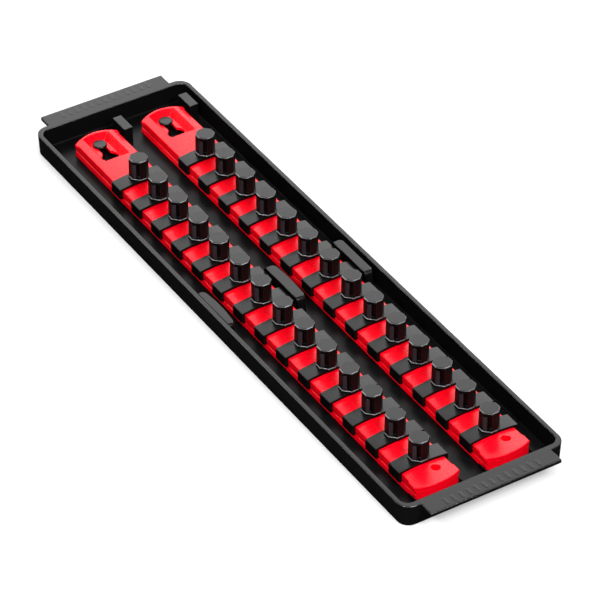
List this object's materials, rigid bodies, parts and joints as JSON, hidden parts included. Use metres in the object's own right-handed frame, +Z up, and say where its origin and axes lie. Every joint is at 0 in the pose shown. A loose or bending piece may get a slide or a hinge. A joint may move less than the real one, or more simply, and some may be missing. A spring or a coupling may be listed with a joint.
{
  "type": "socket organizer tray",
  "caption": "Shallow drawer tray with two rails of sliding post clips that hold drive sockets upright; each rail locks on a stud by a keyhole.",
  "frame": {"origin": "middle of the tray's underside, on the surface it stands on", "axes": "+X across the tray to the right, +Y along it towards the studs, +Z up"},
  "size_m": [0.1192, 0.4826, 0.0304],
  "materials": {
    "tray_plastic": "finely textured black moulded plastic",
    "rail_plastic": "smooth bright red moulded plastic",
    "stud_plastic": "satin black moulded plastic",
    "clip_plastic": "satin black moulded plastic"
  },
  "bodies": {
    "tray": {"tray": "tray_plastic", "stud_left": "stud_plastic", "stud_right": "stud_plastic"},
    "rail_left": {"rail_left": "rail_plastic"},
    "rail_right": {"rail_right": "rail_plastic"},
    "clip_left_1": {"clip_left_1": "clip_plastic"},
    "clip_left_2": {"clip_left_2": "clip_plastic"},
    "clip_left_3": {"clip_left_3": "clip_plastic"},
    "clip_left_4": {"clip_left_4": "clip_plastic"},
    "clip_left_5": {"clip_left_5": "clip_plastic"},
    "clip_left_6": {"clip_left_6": "clip_plastic"},
    "clip_left_7": {"clip_left_7": "clip_plastic"},
    "clip_left_8": {"clip_left_8": "clip_plastic"},
    "clip_left_9": {"clip_left_9": "clip_plastic"},
    "clip_left_10": {"clip_left_10": "clip_plastic"},
    "clip_left_11": {"clip_left_11": "clip_plastic"},
    "clip_left_12": {"clip_left_12": "clip_plastic"},
    "clip_left_13": {"clip_left_13": "clip_plastic"},
    "clip_left_14": {"clip_left_14": "clip_plastic"},
    "clip_right_1": {"clip_right_1": "clip_plastic"},
    "clip_right_2": {"clip_right_2": "clip_plastic"},
    "clip_right_3": {"clip_right_3": "clip_plastic"},
    "clip_right_4": {"clip_right_4": "clip_plastic"},
    "clip_right_5": {"clip_right_5": "clip_plastic"},
    "clip_right_6": {"clip_right_6": "clip_plastic"},
    "clip_right_7": {"clip_right_7": "clip_plastic"},
    "clip_right_8": {"clip_right_8": "clip_plastic"},
    "clip_right_9": {"clip_right_9": "clip_plastic"},
    "clip_right_10": {"clip_right_10": "clip_plastic"},
    "clip_right_11": {"clip_right_11": "clip_plastic"},
    "clip_right_12": {"clip_right_12": "clip_plastic"},
    "clip_right_13": {"clip_right_13": "clip_plastic"},
    "clip_right_14": {"clip_right_14": "clip_plastic"}
  },
  "joints": [
    {"name": "rail_left_slide", "type": "slide", "parent": "tray", "child": "rail_left", "axis": [0, 1, 0], "range_m": [0, 0.0135]},
    {"name": "rail_right_slide", "type": "slide", "parent": "tray", "child": "rail_right", "axis": [0, 1, 0], "range_m": [0, 0.0135]},
    {"name": "clip_left_1_slide", "type": "slide", "parent": "rail_left", "child": "clip_left_1", "axis": [0, 1, 0], "range_m": [-0.0062, 0.0062]},
    {"name": "clip_left_2_slide", "type": "slide", "parent": "rail_left", "child": "clip_left_2", "axis": [0, 1, 0], "range_m": [-0.0062, 0.0062]},
    {"name": "clip_left_3_slide", "type": "slide", "parent": "rail_left", "child": "clip_left_3", "axis": [0, 1, 0], "range_m": [-0.0062, 0.0062]},
    {"name": "clip_left_4_slide", "type": "slide", "parent": "rail_left", "child": "clip_left_4", "axis": [0, 1, 0], "range_m": [-0.0062, 0.0062]},
    {"name": "clip_left_5_slide", "type": "slide", "parent": "rail_left", "child": "clip_left_5", "axis": [0, 1, 0], "range_m": [-0.0062, 0.0062]},
    {"name": "clip_left_6_slide", "type": "slide", "parent": "rail_left", "child": "clip_left_6", "axis": [0, 1, 0], "range_m": [-0.0062, 0.0062]},
    {"name": "clip_left_7_slide", "type": "slide", "parent": "rail_left", "child": "clip_left_7", "axis": [0, 1, 0], "range_m": [-0.0062, 0.0062]},
    {"name": "clip_left_8_slide", "type": "slide", "parent": "rail_left", "child": "clip_left_8", "axis": [0, 1, 0], "range_m": [-0.0062, 0.0062]},
    {"name": "clip_left_9_slide", "type": "slide", "parent": "rail_left", "child": "clip_left_9", "axis": [0, 1, 0], "range_m": [-0.0062, 0.0062]},
    {"name": "clip_left_10_slide", "type": "slide", "parent": "rail_left", "child": "clip_left_10", "axis": [0, 1, 0], "range_m": [-0.0062, 0.0062]},
    {"name": "clip_left_11_slide", "type": "slide", "parent": "rail_left", "child": "clip_left_11", "axis": [0, 1, 0], "range_m": [-0.0062, 0.0062]},
    {"name": "clip_left_12_slide", "type": "slide", "parent": "rail_left", "child": "clip_left_12", "axis": [0, 1, 0], "range_m": [-0.0062, 0.0062]},
    {"name": "clip_left_13_slide", "type": "slide", "parent": "rail_left", "child": "clip_left_13", "axis": [0, 1, 0], "range_m": [-0.0062, 0.0062]},
    {"name": "clip_left_14_slide", "type": "slide", "parent": "rail_left", "child": "clip_left_14", "axis": [0, 1, 0], "range_m": [-0.0062, 0.0062]},
    {"name": "clip_right_1_slide", "type": "slide", "parent": "rail_right", "child": "clip_right_1", "axis": [0, 1, 0], "range_m": [-0.0062, 0.0062]},
    {"name": "clip_right_2_slide", "type": "slide", "parent": "rail_right", "child": "clip_right_2", "axis": [0, 1, 0], "range_m": [-0.0062, 0.0062]},
    {"name": "clip_right_3_slide", "type": "slide", "parent": "rail_right", "child": "clip_right_3", "axis": [0, 1, 0], "range_m": [-0.0062, 0.0062]},
    {"name": "clip_right_4_slide", "type": "slide", "parent": "rail_right", "child": "clip_right_4", "axis": [0, 1, 0], "range_m": [-0.0062, 0.0062]},
    {"name": "clip_right_5_slide", "type": "slide", "parent": "rail_right", "child": "clip_right_5", "axis": [0, 1, 0], "range_m": [-0.0062, 0.0062]},
    {"name": "clip_right_6_slide", "type": "slide", "parent": "rail_right", "child": "clip_right_6", "axis": [0, 1, 0], "range_m": [-0.0062, 0.0062]},
    {"name": "clip_right_7_slide", "type": "slide", "parent": "rail_right", "child": "clip_right_7", "axis": [0, 1, 0], "range_m": [-0.0062, 0.0062]},
    {"name": "clip_right_8_slide", "type": "slide", "parent": "rail_right", "child": "clip_right_8", "axis": [0, 1, 0], "range_m": [-0.0062, 0.0062]},
    {"name": "clip_right_9_slide", "type": "slide", "parent": "rail_right", "child": "clip_right_9", "axis": [0, 1, 0], "range_m": [-0.0062, 0.0062]},
    {"name": "clip_right_10_slide", "type": "slide", "parent": "rail_right", "child": "clip_right_10", "axis": [0, 1, 0], "range_m": [-0.0062, 0.0062]},
    {"name": "clip_right_11_slide", "type": "slide", "parent": "rail_right", "child": "clip_right_11", "axis": [0, 1, 0], "range_m": [-0.0062, 0.0062]},
    {"name": "clip_right_12_slide", "type": "slide", "parent": "rail_right", "child": "clip_right_12", "axis": [0, 1, 0], "range_m": [-0.0062, 0.0062]},
    {"name": "clip_right_13_slide", "type": "slide", "parent": "rail_right", "child": "clip_right_13", "axis": [0, 1, 0], "range_m": [-0.0062, 0.0062]},
    {"name": "clip_right_14_slide", "type": "slide", "parent": "rail_right", "child": "clip_right_14", "axis": [0, 1, 0], "range_m": [-0.0062, 0.0062]}
  ]
}
